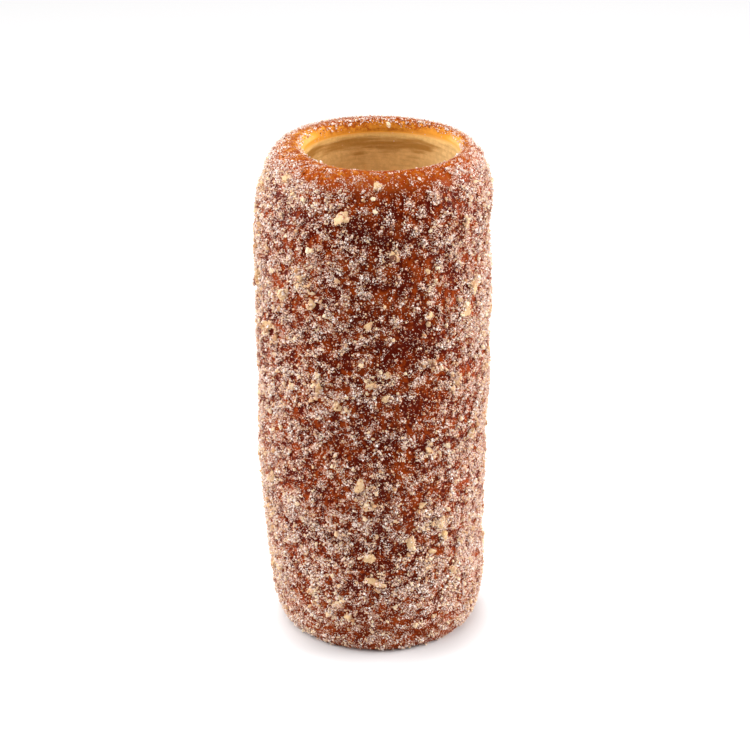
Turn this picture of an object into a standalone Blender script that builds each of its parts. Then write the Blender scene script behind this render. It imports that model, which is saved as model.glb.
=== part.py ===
"""A chimney cake: a tube of yeast dough baked round a wooden roll, standing on its end.

The dough was wound on the roll as one band, so a shallow seam climbs round the tube. Both ends are
rounded, the bore of the roll goes right through, and chopped nuts are baked into the crust.
The origin is the middle of the base, with +Z up along the tube. Lengths are in metres.
"""

import math
import random

import bmesh
import bpy
from mathutils import Euler, Matrix, Vector, noise
from mathutils.bvhtree import BVHTree

MM = 0.001

# The tube
HEIGHT = 188 * MM
TOP_RADIUS = 41.3 * MM
BASE_RADIUS = 39.3 * MM
WALL_SWELL = 1.9 * MM  # how far the middle of the wall stands proud of a straight taper
BORE_TOP_RADIUS = 27.9 * MM
BORE_BASE_RADIUS = 26.6 * MM  # the roll tapers, so that the cake slides off it
BORE_SHIFT = 1.8 * MM  # the wall is thicker on the -X side

# The ends
SHOULDER_WIDTH = 11.2 * MM
SHOULDER_HEIGHT = 24 * MM
LIP_DROP = 4.5 * MM
HEEL_WIDTH = 5.2 * MM
HEEL_HEIGHT = 25 * MM
FOOT_WIDTH = 5 * MM  # the flat ring that it stands on
BASE_LIP_HEIGHT = 3.5 * MM

# The lean and bow of the tube's middle line
BOW_TOP = -0.2 * MM
BOW_MIDDLE = -1.6 * MM
BOW_BASE = 0.6 * MM
BOW_LOW_SHARE = 0.35  # of the height: the middle line is straight from here
BOW_HIGH_SHARE = 0.8  # to here

# The seam of the wound band, which comes down towards +X on the side that faces -Y
BAND_PITCH = 39.5 * MM
SEAM_FRONT_HEIGHT = 166 * MM
SEAM_HALF_WIDTH = 3.2 * MM
SEAM_DEPTH = 0.9 * MM
SEAM_WANDER = 3 * MM  # how far the seam strays up and down from a true helix
SEAM_FADE_SIZE = 14 * MM  # the seam comes and goes over this length
SEAM_STRENGTH = (0.65, 0.6)  # middle and swing of its depth, as shares
INNER_SEAM_DEPTH = 0.5 * MM
BAND_CROWN = 0.35 * MM  # how far the band swells between two turns of the seam

# Hollows where the band pulled apart along the seam. Each has its turn from the front in degrees
# towards +X, height, half length, half width and depth in millimetres, and slope in degrees.
DIMPLES = (
    (0, 166.5, 9.5, 3.2, 1.0, -27),
    (16, 126.5, 5.0, 2.6, 0.8, -5),
    (-24, 50, 10.0, 3.0, 0.9, -28),
    (3, 52, 6.0, 4.0, 0.8, 0),
    (26, 53, 6.5, 2.8, 0.7, 20),
)

# Unevenness of the crust: broad hollows, and the pebbly coat of sugar
HOLLOW_SIZE = 26 * MM
HOLLOW_DEPTH = 0.7 * MM
PEBBLE_SIZE = 3.5 * MM
PEBBLE_HEIGHT = 0.35 * MM
CREST_CRUST = 0.3  # how much of this unevenness the smooth crest of the top end keeps
LIP_CRUST = 0.2

# Mesh steps
SIDES = 64
SHOULDER_STEPS = 7
LIP_STEPS = 4
HEEL_STEPS = 6
WALL_STEPS = 25
BORE_STEPS = 12
MOUTH_BIAS = 1.6  # rows of the bore are closer together near the mouth, where the inside shows
SEED = 11

# Chopped nuts. A big one has its place by name: turn from the front in degrees towards +X, height,
# length, width and tilt in degrees.
NUT_SINK = 0.3  # share of a nut's thickness that lies in the crust
NUT_FLATNESS = 0.62
NUT_COUNT = 54
NUT_LENGTH_RANGE = (2.2 * MM, 4.2 * MM)
NUT_HEIGHT_RANGE = (12 * MM, 176 * MM)
NUT_SMALLNESS = 1.5  # above 1, most of the scattered nuts are near the short end of the range
NUT_WIDTH_RANGE = (0.55, 0.95)  # share of the length
NUT_ROUGHNESS = 0.14  # how far a chip's corners stray, as a share of its size
NUT_CLEARANCE = 5.5 * MM
BIG_NUTS = (
    (0, 184.2, 3.4, 3.2, 0),
    (-16, 173.7, 6.4, 5.0, 60),
    (9, 161.5, 4.2, 2.8, 75),
    (-86, 149, 5.0, 3.0, 85),
    (-74, 141.5, 7.5, 4.0, 80),
    (-47, 141.5, 6.0, 4.2, 30),
    (88, 132, 4.0, 3.0, 70),
    (86, 126, 3.4, 2.6, 80),
    (58, 142.5, 6.5, 3.2, 80),
    (51, 134, 4.4, 3.4, 20),
    (-55, 182.8, 4.6, 3.2, 20),
    (45, 109.5, 4.0, 3.2, 60),
    (-6, 73, 7.4, 3.6, 80),
    (20, 47.5, 4.6, 3.4, 70),
    (39, 47.5, 3.8, 3.0, 100),
    (36, 53, 4.0, 2.6, 80),
    (-1, 32.5, 8.6, 3.0, -25),
    (-73, 24, 5.0, 3.0, 80),
    (-62, 66, 5.4, 3.2, 60),
    (50, 167.5, 3.4, 2.6, 30),
    (-2, 135.5, 3.6, 2.8, 40),
    (28, 137, 3.8, 2.8, -30),
    (-27, 109, 6.4, 2.8, 75),
    (6, 107.5, 3.2, 2.6, 20),
    (30, 118, 3.6, 3.0, 60),
    (-3, 42, 4.4, 3.8, 20),
    (44, 32, 3.4, 2.4, 70),
    (-61, 126.5, 4.4, 3.4, 10),
)


def smooth_step(share):
    """0 to 1 with no slope at either end."""
    share = min(max(share, 0.0), 1.0)
    return share * share * (3 - 2 * share)


def between(low, high, share):
    return low + (high - low) * share


def bow(height):
    """How far the tube's middle line is from straight, along X."""
    share = height / HEIGHT
    rise = smooth_step(share / BOW_LOW_SHARE)
    reach = smooth_step((share - BOW_HIGH_SHARE) / (1 - BOW_HIGH_SHARE))
    return between(BOW_BASE, BOW_MIDDLE, rise) + between(0, BOW_TOP - BOW_MIDDLE, reach)


def wall_radius(height):
    """The outside radius of the straight part of the wall."""
    share = height / HEIGHT
    return between(BASE_RADIUS, TOP_RADIUS, share) + WALL_SWELL * math.sin(math.pi * share)


def bore_radius(height):
    return between(BORE_BASE_RADIUS, BORE_TOP_RADIUS, height / HEIGHT)


def quarter(steps):
    """The sine and cosine of evenly spaced angles strictly inside a right angle."""
    for step in range(1, steps):
        angle = math.pi / 2 * step / steps
        yield math.sin(angle), math.cos(angle)


def section():
    """The closed outline of the wall, as radius, height and how crusty it is, from the foot up the outside."""
    foot_outer = wall_radius(HEEL_HEIGHT) - HEEL_WIDTH
    foot_inner = foot_outer - FOOT_WIDTH
    shoulder_base = HEIGHT - SHOULDER_HEIGHT
    shoulder_radius = wall_radius(shoulder_base)
    crest_radius = shoulder_radius - SHOULDER_WIDTH
    lip_base = HEIGHT - LIP_DROP
    lip_width = crest_radius - bore_radius(lip_base)
    base_lip_width = foot_inner - bore_radius(BASE_LIP_HEIGHT)

    points = [(foot_inner, 0.0, 0.0), (foot_outer, 0.0, 0.0)]
    points += [
        (foot_outer + HEEL_WIDTH * rise, HEEL_HEIGHT * (1 - run), smooth_step(2 * (1 - run)))
        for rise, run in quarter(HEEL_STEPS)
    ]
    for step in range(WALL_STEPS + 1):
        height = between(HEEL_HEIGHT, shoulder_base, step / WALL_STEPS)
        points.append((wall_radius(height), height, 1.0))
    points += [
        (
            crest_radius + SHOULDER_WIDTH * run,
            shoulder_base + SHOULDER_HEIGHT * rise,
            between(CREST_CRUST, 1, run),
        )
        for rise, run in quarter(SHOULDER_STEPS)
    ]
    points.append((crest_radius, HEIGHT, CREST_CRUST))
    points += [
        (crest_radius - lip_width * rise, HEIGHT - LIP_DROP * (1 - run), LIP_CRUST)
        for rise, run in quarter(LIP_STEPS)
    ]
    for step in range(BORE_STEPS + 1):
        height = between(lip_base, BASE_LIP_HEIGHT, (step / BORE_STEPS) ** MOUTH_BIAS)
        points.append((bore_radius(height), height, -1.0))
    points += [
        (foot_inner - base_lip_width * run, BASE_LIP_HEIGHT * (1 - rise), 0.0)
        for rise, run in quarter(LIP_STEPS)
    ]
    return points


def seam_distance(turn, height):
    """How far a point of the wall lies from the nearest turn of the seam, along Z."""
    wander = SEAM_WANDER * noise.noise(Vector((2 * math.cos(turn), 2 * math.sin(turn), height / BAND_PITCH)))
    level = SEAM_FRONT_HEIGHT - BAND_PITCH * turn / (2 * math.pi) + wander
    offset = (height - level) % BAND_PITCH
    return min(offset, BAND_PITCH - offset)


def dimple_depth(turn, height):
    """How deep the hollows along the seam are at a place of the wall."""
    depth = 0.0
    for centre_turn, centre_height, half_length, half_width, deepest, slope in DIMPLES:
        across = TOP_RADIUS * math.remainder(turn - math.radians(centre_turn), 2 * math.pi)
        up = height - centre_height * MM
        tilt = math.radians(slope)
        along = (across * math.cos(tilt) + up * math.sin(tilt)) / (half_length * MM)
        beside = (up * math.cos(tilt) - across * math.sin(tilt)) / (half_width * MM)
        depth += deepest * MM * math.exp(-(along**2) - beside**2)
    return depth


def relief(turn, place):
    """How far the crust stands out at a place of the wall, whose turn from the front is given in radians."""
    height = place.z
    gap = seam_distance(turn, height)
    middle, swing = SEAM_STRENGTH
    strength = middle + swing * noise.noise(place / SEAM_FADE_SIZE + Vector((7, 3, 5)))
    seam = -SEAM_DEPTH * strength * math.exp(-((gap / SEAM_HALF_WIDTH) ** 2))
    crown = BAND_CROWN * math.sin(math.pi * gap / BAND_PITCH)
    hollows = HOLLOW_DEPTH * noise.noise(place / HOLLOW_SIZE)
    pebbles = PEBBLE_HEIGHT * noise.noise(place / PEBBLE_SIZE)
    return seam + crown + hollows + pebbles - dimple_depth(turn, height)


def inner_relief(turn, height):
    """The seam's shallow groove on the wall of the bore."""
    gap = seam_distance(turn, height)
    return INNER_SEAM_DEPTH * math.exp(-((gap / SEAM_HALF_WIDTH) ** 2))


def wall_point(turn, radius, height, crust):
    """The place of a point of the outline at a turn from the front, with its unevenness."""
    outward = Vector((math.sin(turn), -math.cos(turn), 0))
    place = outward * radius + Vector((0, 0, height))
    shift = bow(height)
    if crust > 0:
        place += outward * crust * relief(turn, place)
    elif crust < 0:
        place += outward * inner_relief(turn, height)
    wall = wall_radius(height) - bore_radius(height)
    bore_side = smooth_step(2 * (wall_radius(height) - radius) / wall - 1)
    return place + Vector((shift + BORE_SHIFT * bore_side, 0, 0))


def new_object(name, mesh, material):
    obj = bpy.data.objects.new(name, mesh)
    mesh.materials.append(material)
    bpy.context.scene.collection.objects.link(obj)
    return obj


def make_tube(material):
    """The tube of dough: the outline of its wall carried round the bore."""
    shape = bmesh.new()
    rings = []
    for side in range(SIDES):
        turn = 2 * math.pi * side / SIDES
        rings.append([shape.verts.new(wall_point(turn, *point)) for point in section()])
    rows = len(rings[0])
    for side in range(SIDES):
        here, there = rings[side], rings[(side + 1) % SIDES]
        for row in range(rows):
            after = (row + 1) % rows
            shape.faces.new((here[row], there[row], there[after], here[after]))
    bmesh.ops.triangulate(shape, faces=shape.faces, quad_method="SHORT_EDGE")
    bmesh.ops.recalc_face_normals(shape, faces=shape.faces)
    mesh = bpy.data.meshes.new("cake")
    shape.to_mesh(mesh)
    shape.free()
    mesh.shade_smooth()
    return new_object("cake", mesh, material)


def crust_surface(tree, turn, height):
    """A point of the crust and the direction that it faces, by the turn from the front and the height."""
    outward = Vector((math.sin(turn), -math.cos(turn), 0))
    outside = outward * 2 * TOP_RADIUS + Vector((bow(height), 0, height))
    place, facing, _, _ = tree.ray_cast(outside, -outward)
    return place, facing


def make_nut(draw, tree, turn, height, length, width, tilt, material):
    """One angular chip of nut, partly sunk in the crust."""
    thickness = NUT_FLATNESS * width
    place, facing = crust_surface(tree, turn, height)
    shape = bmesh.new()
    bmesh.ops.create_icosphere(shape, subdivisions=1, radius=0.5)
    for vert in shape.verts:
        vert.co *= draw.uniform(1 - NUT_ROUGHNESS, 1 + NUT_ROUGHNESS)
    across = Vector((0, 0, 1)).cross(facing).normalized()
    along = facing.cross(across)
    stance = Matrix((across, along, facing)).transposed()
    spin = Euler((0, 0, tilt)).to_matrix()
    size = Matrix.Diagonal((length, width, thickness))
    bmesh.ops.transform(shape, matrix=(stance @ spin @ size).to_4x4(), verts=shape.verts)
    centre = place + facing * thickness * (0.5 - NUT_SINK)
    bmesh.ops.translate(shape, vec=centre, verts=shape.verts)
    mesh = bpy.data.meshes.new("nut")
    shape.to_mesh(mesh)
    shape.free()
    return new_object("nut", mesh, material)


def nut_layout(draw):
    """Where each nut lies: turn, height, length, width and tilt. The big ones come first."""
    layout = [
        (math.radians(turn), height * MM, length * MM, width * MM, math.radians(tilt))
        for turn, height, length, width, tilt in BIG_NUTS
    ]
    while len(layout) < len(BIG_NUTS) + NUT_COUNT:
        turn = draw.uniform(-math.pi, math.pi)
        height = draw.uniform(*NUT_HEIGHT_RANGE)
        length = between(*NUT_LENGTH_RANGE, draw.random() ** NUT_SMALLNESS)
        apart = min(
            math.hypot(TOP_RADIUS * math.remainder(turn - other[0], 2 * math.pi), height - other[1])
            for other in layout
        )
        if apart > NUT_CLEARANCE:
            width = length * draw.uniform(*NUT_WIDTH_RANGE)
            layout.append((turn, height, length, width, draw.uniform(0, math.pi)))
    return layout


def fuse(body, pieces):
    """Joins the pieces to the body as one solid."""
    group = bpy.data.collections.new("pieces")
    bpy.context.scene.collection.children.link(group)
    for piece in pieces:
        bpy.context.scene.collection.objects.unlink(piece)
        group.objects.link(piece)
    join = body.modifiers.new("join", "BOOLEAN")
    join.operation = "UNION"
    join.operand_type = "COLLECTION"
    join.collection = group
    join.solver = "EXACT"
    bpy.context.view_layer.objects.active = body
    body.select_set(True)
    bpy.ops.object.modifier_apply(modifier=join.name)
    for piece in pieces:
        bpy.data.objects.remove(piece)
    bpy.data.collections.remove(group)


def stand_on_origin(body):
    """Moves the cake so that the middle of its base's outline is the origin."""
    places = [vert.co for vert in body.data.vertices]
    low = Vector(min(place[axis] for place in places) for axis in range(3))
    high = Vector(max(place[axis] for place in places) for axis in range(3))
    middle = (low + high) / 2
    body.data.transform(Matrix.Translation((-middle.x, -middle.y, -low.z)))


def make_material(name, colour, roughness):
    material = bpy.data.materials.new(name)
    material.use_nodes = True
    shader = material.node_tree.nodes["Principled BSDF"]
    shader.inputs["Base Color"].default_value = (*colour, 1)
    shader.inputs["Roughness"].default_value = roughness
    shader.inputs["Metallic"].default_value = 0
    return material


def main():
    for obj in list(bpy.data.objects):
        bpy.data.objects.remove(obj)
    crust = make_material("sugared_crust", (0.34, 0.13, 0.06), 0.45)
    tube = make_tube(crust)
    draw = random.Random(SEED)
    tree = BVHTree.FromPolygons(
        [vert.co for vert in tube.data.vertices],
        [face.vertices for face in tube.data.polygons],
    )
    nuts = [make_nut(draw, tree, *place, crust) for place in nut_layout(draw)]
    fuse(tube, nuts)
    stand_on_origin(tube)


main()
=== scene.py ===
"""The looks of a chimney cake: caramel crust, tan bore, chopped nuts, ground nut and sugar crystals.

Lengths are in metres, in the frame of the solid: +Z up along the tube, the side that the camera sees at
-Y, and the origin in the middle of the base. A turn is the angle round the tube from -Y towards +X.
"""

import logging
import math
import random
from collections.abc import Iterator
from contextlib import contextmanager
from dataclasses import dataclass, field, replace
from enum import Enum

import bpy
import numpy as np
from mathutils import Euler, Matrix, Vector, noise
from mathutils.bvhtree import BVHTree


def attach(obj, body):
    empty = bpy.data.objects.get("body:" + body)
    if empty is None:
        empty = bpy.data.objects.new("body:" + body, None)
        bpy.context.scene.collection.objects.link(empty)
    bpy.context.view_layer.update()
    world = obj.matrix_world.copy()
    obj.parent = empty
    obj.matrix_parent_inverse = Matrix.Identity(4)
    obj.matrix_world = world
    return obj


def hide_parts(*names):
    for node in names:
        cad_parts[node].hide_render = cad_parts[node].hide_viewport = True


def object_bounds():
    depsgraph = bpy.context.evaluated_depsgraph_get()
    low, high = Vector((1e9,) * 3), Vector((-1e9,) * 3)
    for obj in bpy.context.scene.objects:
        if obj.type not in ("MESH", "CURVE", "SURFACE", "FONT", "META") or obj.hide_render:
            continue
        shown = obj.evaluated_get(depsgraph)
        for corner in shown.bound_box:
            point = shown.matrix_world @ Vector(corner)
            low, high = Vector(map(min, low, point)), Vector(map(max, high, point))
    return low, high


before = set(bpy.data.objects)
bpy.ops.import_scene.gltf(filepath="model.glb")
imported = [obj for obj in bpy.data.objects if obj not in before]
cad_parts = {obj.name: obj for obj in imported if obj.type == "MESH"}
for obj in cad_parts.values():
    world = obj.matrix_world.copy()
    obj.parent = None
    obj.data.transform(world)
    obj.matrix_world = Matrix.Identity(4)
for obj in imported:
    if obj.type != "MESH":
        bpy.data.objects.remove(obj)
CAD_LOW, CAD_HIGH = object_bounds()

LOG = logging.getLogger("chimney_cake")
MM = 0.001
TURN = 2 * math.pi
BODY = "root"
NODE = "cake"
CELL_TRIANGLE = ((0.2, 0.2), (0.8, 0.2), (0.5, 0.8))

Colour = tuple[float, float, float]
Span = tuple[float, float]


def smooth_step(share: float | np.ndarray) -> float | np.ndarray:
    """0 to 1 with no slope at either end."""
    share = np.clip(share, 0.0, 1.0)
    return share * share * (3 - 2 * share)


def between(low: float, high: float, share: float | np.ndarray) -> float | np.ndarray:
    """The value a share of the way from low to high."""
    return low + (high - low) * share


def noise_at(points: np.ndarray, size: float, shift: float = 0.0) -> np.ndarray:
    """Soft noise at many points.

    Args:
        points: places, one row each.
        size: length over which the noise changes.
        shift: moves the pattern, so that two uses of one size differ.

    Returns:
        One value of about -1 to 1 for each point.
    """
    scaled = (points / size + shift).tolist()
    return np.fromiter((noise.noise(place) for place in scaled), float, len(scaled))


@dataclass(frozen=True)
class Unevenness:
    """Soft noise with its size, how far it swings, and a shift that makes its pattern its own."""

    size: float
    swing: float
    shift: float = 0.0

    def at(self, points: np.ndarray) -> np.ndarray:
        """What it adds at each of the points."""
        return self.swing * noise_at(points, self.size, self.shift)


def deselect_all() -> None:
    """Leaves no object selected, because an operator acts on all that is."""
    bpy.ops.object.select_all(action="DESELECT")


@contextmanager
def editing(piece: bpy.types.Object) -> Iterator[None]:
    """Edit mode on one piece alone, with all of it selected at first.

    Args:
        piece: the mesh object to edit.
    """
    deselect_all()
    bpy.context.view_layer.objects.active = piece
    piece.select_set(True)
    bpy.ops.object.mode_set(mode="EDIT")
    bpy.ops.mesh.select_all(action="SELECT")
    yield
    bpy.ops.object.mode_set(mode="OBJECT")
    piece.select_set(False)


def places_of(mesh: bpy.types.Mesh) -> np.ndarray:
    """The mesh's vertices as an array of rows.

    Args:
        mesh: the mesh to read.

    Returns:
        One row of three coordinates for each vertex.
    """
    flat = np.empty(len(mesh.vertices) * 3, np.float32)
    mesh.vertices.foreach_get("co", flat)
    return flat.reshape(-1, 3).astype(float)


def triangles_of(mesh: bpy.types.Mesh) -> np.ndarray:
    """The mesh's triangles as rows of three vertex numbers.

    Args:
        mesh: the mesh to read. A face of four corners gives two triangles.

    Returns:
        One row for each triangle.
    """
    mesh.calc_loop_triangles()
    flat = np.empty(len(mesh.loop_triangles) * 3, np.int32)
    mesh.loop_triangles.foreach_get("vertices", flat)
    return flat.reshape(-1, 3)


def give_values(mesh: bpy.types.Mesh, name: str, values: np.ndarray) -> None:
    """Stores one number for each vertex under a name that a material can read."""
    layer = mesh.attributes.new(name, "FLOAT", "POINT")
    layer.data.foreach_set("value", np.asarray(values, np.float32))


def give_map(mesh: bpy.types.Mesh, corners: np.ndarray) -> None:
    """Gives a mesh its map for baked colours, from a place for each corner of its faces."""
    layer = mesh.uv_layers.new(name="OFBake")
    layer.data.foreach_set("uv", corners.astype(np.float32).ravel())


def mesh_from_arrays(name: str, points: np.ndarray, triangles: np.ndarray) -> bpy.types.Mesh:
    """A mesh of many small closed bodies, made in one go.

    Args:
        name: the mesh's name.
        points: vertices, one row each.
        triangles: rows of three vertex numbers.

    Returns:
        The mesh, with flat faces.
    """
    mesh = bpy.data.meshes.new(name)
    mesh.vertices.add(len(points))
    mesh.vertices.foreach_set("co", points.astype(np.float32).ravel())
    mesh.loops.add(triangles.size)
    mesh.loops.foreach_set("vertex_index", triangles.astype(np.int32).ravel())
    mesh.polygons.add(len(triangles))
    mesh.polygons.foreach_set("loop_start", np.arange(0, triangles.size, 3, dtype=np.int32))
    mesh.update(calc_edges=True)
    mesh.shade_flat()
    return mesh


def show(piece: bpy.types.Object, material: bpy.types.Material) -> None:
    """Gives a finished piece its material and its body, and reports it.

    Args:
        piece: the finished mesh object, at the origin.
        material: its finish.
    """
    piece.data.materials.clear()
    piece.data.materials.append(material)
    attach(piece, BODY)
    LOG.info("%s: %d faces", piece.name, len(piece.data.polygons))


class Wiring:
    """A node tree with short calls for adding nodes and joining them.

    The Mix node's sockets share their names, so they are known by number.
    """

    MIX_SHARE = 0
    MIX_NUMBERS = (2, 3)
    MIX_COLOURS = (6, 7)
    MIX_COLOUR_RESULT = 2

    def __init__(self, tree: bpy.types.NodeTree) -> None:
        """Takes the tree to work on."""
        self.tree = tree

    def add(self, kind: str, sockets: dict | None = None, **settings: object) -> bpy.types.Node:
        """Adds a node.

        Args:
            kind: the node's type name, without its ShaderNode prefix.
            sockets: for each input, by name or number, its value or the output that feeds it.
            **settings: the node's own properties.

        Returns:
            The new node.
        """
        node = self.tree.nodes.new("ShaderNode" + kind)
        for name, value in settings.items():
            setattr(node, name, value)
        for key, value in (sockets or {}).items():
            self.feed(node.inputs[key], value)
        return node

    def feed(self, socket: bpy.types.NodeSocket, value: object) -> None:
        """Joins an output to a socket, or sets the socket's own value.

        Args:
            socket: the input.
            value: the output that feeds it, a number, or a colour of three numbers.
        """
        if isinstance(value, bpy.types.NodeSocket):
            self.tree.links.new(value, socket)
        elif isinstance(value, tuple) and len(value) == 3 and socket.type == "RGBA":
            socket.default_value = (*value, 1)
        else:
            socket.default_value = value

    def math(self, operation: str, *values: object) -> bpy.types.NodeSocket:
        """The result of a Math node on the given values or outputs."""
        return self.add("Math", dict(enumerate(values)), operation=operation).outputs[0]

    def mix(self, share: object, first: object, second: object) -> bpy.types.NodeSocket:
        """A colour that goes from the first to the second by a share."""
        sockets = {self.MIX_SHARE: share, **dict(zip(self.MIX_COLOURS, (first, second)))}
        return self.add("Mix", sockets, data_type="RGBA").outputs[self.MIX_COLOUR_RESULT]

    def blend(self, share: object, first: object, second: object) -> bpy.types.NodeSocket:
        """A number that goes from the first to the second by a share."""
        sockets = {self.MIX_SHARE: share, **dict(zip(self.MIX_NUMBERS, (first, second)))}
        return self.add("Mix", sockets).outputs[0]

    def ramp(self, value: object, *stops: tuple[float, Colour]) -> bpy.types.NodeSocket:
        """A colour ramp over a value, with its stops given as place and colour.

        Args:
            value: where on the ramp to read, 0 to 1.
            *stops: place and colour of each stop, in order.

        Returns:
            The colour.
        """
        node = self.add("ValToRGB", {"Fac": value})
        elements = node.color_ramp.elements
        while len(elements) < len(stops):
            elements.new(1.0)
        for element, (place, colour) in zip(elements, stops):
            element.position = place
            element.color = (*colour, 1)
        return node.outputs["Color"]

    def span(self, value: object, low: float, high: float) -> bpy.types.NodeSocket:
        """0 below low, 1 above high and a smooth rise between them."""
        sockets = {"Value": value, "From Min": low, "From Max": high}
        return self.add("MapRange", sockets, interpolation_type="SMOOTHSTEP").outputs["Result"]

    def attribute(self, name: str) -> bpy.types.NodeSocket:
        """A number that the mesh stores under a name."""
        return self.add("Attribute", attribute_name=name).outputs["Fac"]

    def place(self) -> bpy.types.NodeSocket:
        """The Object coordinates."""
        return self.add("TexCoord").outputs["Object"]


def new_group(name: str, inputs: dict[str, float], outputs: tuple[str, ...]) -> tuple:
    """Starts a shader node group of numbers.

    Args:
        name: the group's name.
        inputs: its inputs with their usual values.
        outputs: its outputs.

    Returns:
        The group, its wiring, its input node and its output node.
    """
    group = bpy.data.node_groups.new(name, "ShaderNodeTree")
    for socket, usual in inputs.items():
        made = group.interface.new_socket(name=socket, in_out="INPUT", socket_type="NodeSocketFloat")
        made.default_value = usual
    for socket in outputs:
        group.interface.new_socket(name=socket, in_out="OUTPUT", socket_type="NodeSocketFloat")
    wiring = Wiring(group)
    return group, wiring, group.nodes.new("NodeGroupInput"), group.nodes.new("NodeGroupOutput")


class Effects:
    """The shader node groups that more than one finish uses."""

    FINER_BY = 4.7
    FINER_SHARE = 0.35
    BLOTCH_SPAN = (0.36, 0.64)
    GRAIN_REACH = 0.62
    GRAIN_EDGE = (0.06, 0.2)

    def __init__(self) -> None:
        """Builds each group once."""
        self.mottle = self._mottle()
        self.dust = self._dust()

    def _mottle(self) -> bpy.types.NodeTree:
        """Blotches of two sizes, as 0 to 1, by the size of the larger ones.

        Returns:
            The group.
        """
        group, wiring, given, result = new_group("mottle", {"Size": 6 * MM}, ("Value",))
        scale = wiring.math("DIVIDE", 1.0, given.outputs["Size"])
        place = wiring.place()
        large = wiring.add("TexNoise", {"Vector": place, "Scale": scale, "Detail": 3.0})
        finer = wiring.math("MULTIPLY", scale, self.FINER_BY)
        small = wiring.add("TexNoise", {"Vector": place, "Scale": finer, "Detail": 2.0})
        both = wiring.blend(self.FINER_SHARE, large.outputs["Fac"], small.outputs["Fac"])
        wiring.feed(result.inputs["Value"], wiring.span(both, *self.BLOTCH_SPAN))
        return group

    def _dust(self) -> bpy.types.NodeTree:
        """Grains too small to be modelled: where they lie, and how high they stand.

        Returns:
            The group.
        """
        group, wiring, given, result = new_group(
            "fine_sugar", {"Size": 0.42 * MM, "Cover": 0.4}, ("Mask", "Height")
        )
        scale = wiring.math("DIVIDE", 1.0, given.outputs["Size"])
        cells = wiring.add("TexVoronoi", {"Vector": wiring.place(), "Scale": scale})
        lot = wiring.add("SeparateColor", {"Color": cells.outputs["Color"]}).outputs["Red"]
        chosen = wiring.math("LESS_THAN", lot, given.outputs["Cover"])
        dome = wiring.math("SUBTRACT", self.GRAIN_REACH, cells.outputs["Distance"])
        shown = wiring.math("MULTIPLY", wiring.span(dome, *self.GRAIN_EDGE), chosen)
        wiring.feed(result.inputs["Mask"], shown)
        wiring.feed(result.inputs["Height"], wiring.math("MULTIPLY", dome, shown))
        return group


class Finish:
    """What every finish shares: a material with one Principled shader."""

    name: str
    roughness: float
    shine: float

    def start(self) -> tuple[bpy.types.Material, Wiring, bpy.types.Node]:
        """Makes the material, with its roughness and its specular level the same all over.

        Returns:
            The material, its wiring and its shader.
        """
        material = bpy.data.materials.new(self.name)
        material.use_nodes = True
        wiring = Wiring(material.node_tree)
        shader = material.node_tree.nodes["Principled BSDF"]
        shader.inputs["Roughness"].default_value = self.roughness
        shader.inputs["Specular IOR Level"].default_value = self.shine
        return material, wiring, shader

    def use(self, wiring: Wiring, group: bpy.types.NodeTree, **sockets: object) -> bpy.types.Node:
        """Places a shared effect in a material.

        Args:
            wiring: the material's wiring.
            group: the effect.
            **sockets: its values here.

        Returns:
            The group's node.
        """
        node = wiring.add("Group", node_tree=group)
        for name, value in sockets.items():
            wiring.feed(node.inputs[name], value)
        return node


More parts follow.
